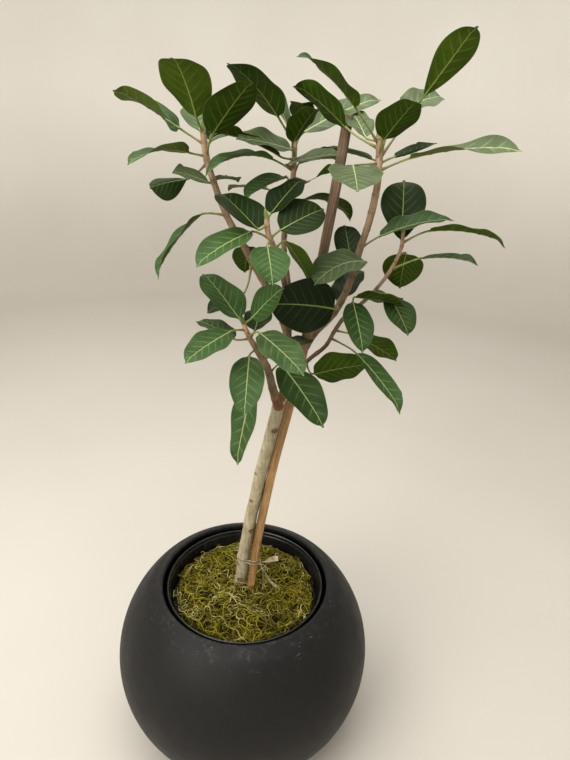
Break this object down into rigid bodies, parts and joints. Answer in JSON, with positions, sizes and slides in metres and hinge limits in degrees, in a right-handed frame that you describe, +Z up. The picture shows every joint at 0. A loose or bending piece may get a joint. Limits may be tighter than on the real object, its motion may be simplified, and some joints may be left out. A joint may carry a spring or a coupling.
{
  "type": "potted ficus",
  "caption": "Small standing ficus tree with leathery oval leaves, tied to a wooden stake, growing through moss in a nursery pot inside a round planter.",
  "frame": {"origin": "centre of the planter's flat base, on the floor", "axes": "+Z up the tree, +X the way the trunk and the stake lean, -Y the side that faces the viewer"},
  "size_m": [0.6182, 0.4996, 1.2987],
  "materials": {
    "planter": "matte",
    "nursery_pot": "gloss",
    "soil": "matte",
    "moss": "matte",
    "bark": "matte",
    "stake": "matte",
    "tie": "matte",
    "leaf": "satin"
  },
  "bodies": {
    "root": {"planter": "planter", "nursery_pot": "nursery_pot", "soil": "soil", "moss": "moss", "trunk": "bark", "stake": "stake", "tie": "tie", "leaf_left_01": "leaf", "leaf_left_02": "leaf", "leaf_left_03": "leaf", "leaf_left_04": "leaf", "leaf_left_05": "leaf", "leaf_left_06": "leaf", "leaf_left_07": "leaf", "leaf_left_08": "leaf", "leaf_left_09": "leaf", "leaf_left_10": "leaf", "leaf_middle_01": "leaf", "leaf_middle_02": "leaf", "leaf_middle_03": "leaf", "leaf_middle_04": "leaf", "leaf_middle_05": "leaf", "leaf_middle_06": "leaf", "leaf_middle_07": "leaf", "leaf_middle_08": "leaf", "leaf_centre_01": "leaf", "leaf_centre_02": "leaf", "leaf_centre_03": "leaf", "leaf_centre_04": "leaf", "leaf_centre_05": "leaf", "leaf_right_01": "leaf", "leaf_right_02": "leaf", "leaf_right_03": "leaf", "leaf_right_04": "leaf", "leaf_right_05": "leaf", "leaf_right_06": "leaf", "leaf_right_07": "leaf", "leaf_right_08": "leaf", "leaf_right_09": "leaf", "leaf_right_10": "leaf", "leaf_right_11": "leaf", "leaf_right_12": "leaf", "leaf_right_13": "leaf", "leaf_right_14": "leaf", "leaf_side_01": "leaf", "leaf_side_02": "leaf", "leaf_side_03": "leaf", "leaf_side_04": "leaf", "leaf_side_05": "leaf", "leaf_side_06": "leaf", "leaf_side_07": "leaf", "leaf_side_08": "leaf", "leaf_side_09": "leaf", "leaf_low_01": "leaf", "leaf_low_02": "leaf", "leaf_low_03": "leaf", "leaf_low_04": "leaf", "leaf_low_05": "leaf", "leaf_low_06": "leaf", "leaf_low_07": "leaf"}
  },
  "joints": []
}
